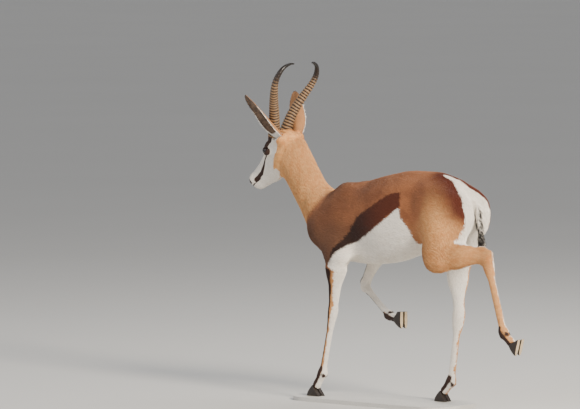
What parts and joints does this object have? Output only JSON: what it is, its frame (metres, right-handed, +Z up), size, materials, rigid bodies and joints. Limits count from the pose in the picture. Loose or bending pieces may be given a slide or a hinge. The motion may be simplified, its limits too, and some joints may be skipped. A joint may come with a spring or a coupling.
{
  "type": "springbok",
  "caption": "Still life-size model of a springbok ram trotting on two feet, head high, on a flat display base.",
  "frame": {"origin": "middle of the underside of the box that holds the whole part, on the underside of the display base", "axes": "+Z up, the animal heads along -X and its left side faces -Y"},
  "size_m": [1.2864, 0.2762, 1.1889],
  "materials": {
    "coat": "short fawn, chocolate and white fur",
    "tail_coat": "white hair with a black tuft",
    "horn": "satin horn, ringed",
    "eye": "polished, dark brown",
    "hoof": "satin dark horn",
    "stand": "plain pale, matt"
  },
  "bodies": {
    "root": {"foreleg_left_shoulder": "coat", "foreleg_left_forearm": "coat", "foreleg_left_cannon": "coat", "foreleg_left_pastern": "coat", "foreleg_left_hoof_inner": "hoof", "foreleg_left_hoof_outer": "hoof", "foreleg_right_shoulder": "coat", "foreleg_right_forearm": "coat", "foreleg_right_cannon": "coat", "foreleg_right_pastern": "coat", "foreleg_right_hoof_inner": "hoof", "foreleg_right_hoof_outer": "hoof", "hindleg_left_thigh": "coat", "hindleg_left_gaskin": "coat", "hindleg_left_cannon": "coat", "hindleg_left_pastern": "coat", "hindleg_left_hoof_inner": "hoof", "hindleg_left_hoof_outer": "hoof", "hindleg_right_thigh": "coat", "hindleg_right_gaskin": "coat", "hindleg_right_cannon": "coat", "hindleg_right_pastern": "coat", "hindleg_right_hoof_inner": "hoof", "hindleg_right_hoof_outer": "hoof", "neck": "coat", "horn_left": "horn", "ear_left": "coat", "eye_left": "eye", "horn_right": "horn", "ear_right": "coat", "eye_right": "eye", "head": "coat", "torso": "coat", "tail": "tail_coat", "stand_base": "stand"}
  },
  "joints": []
}
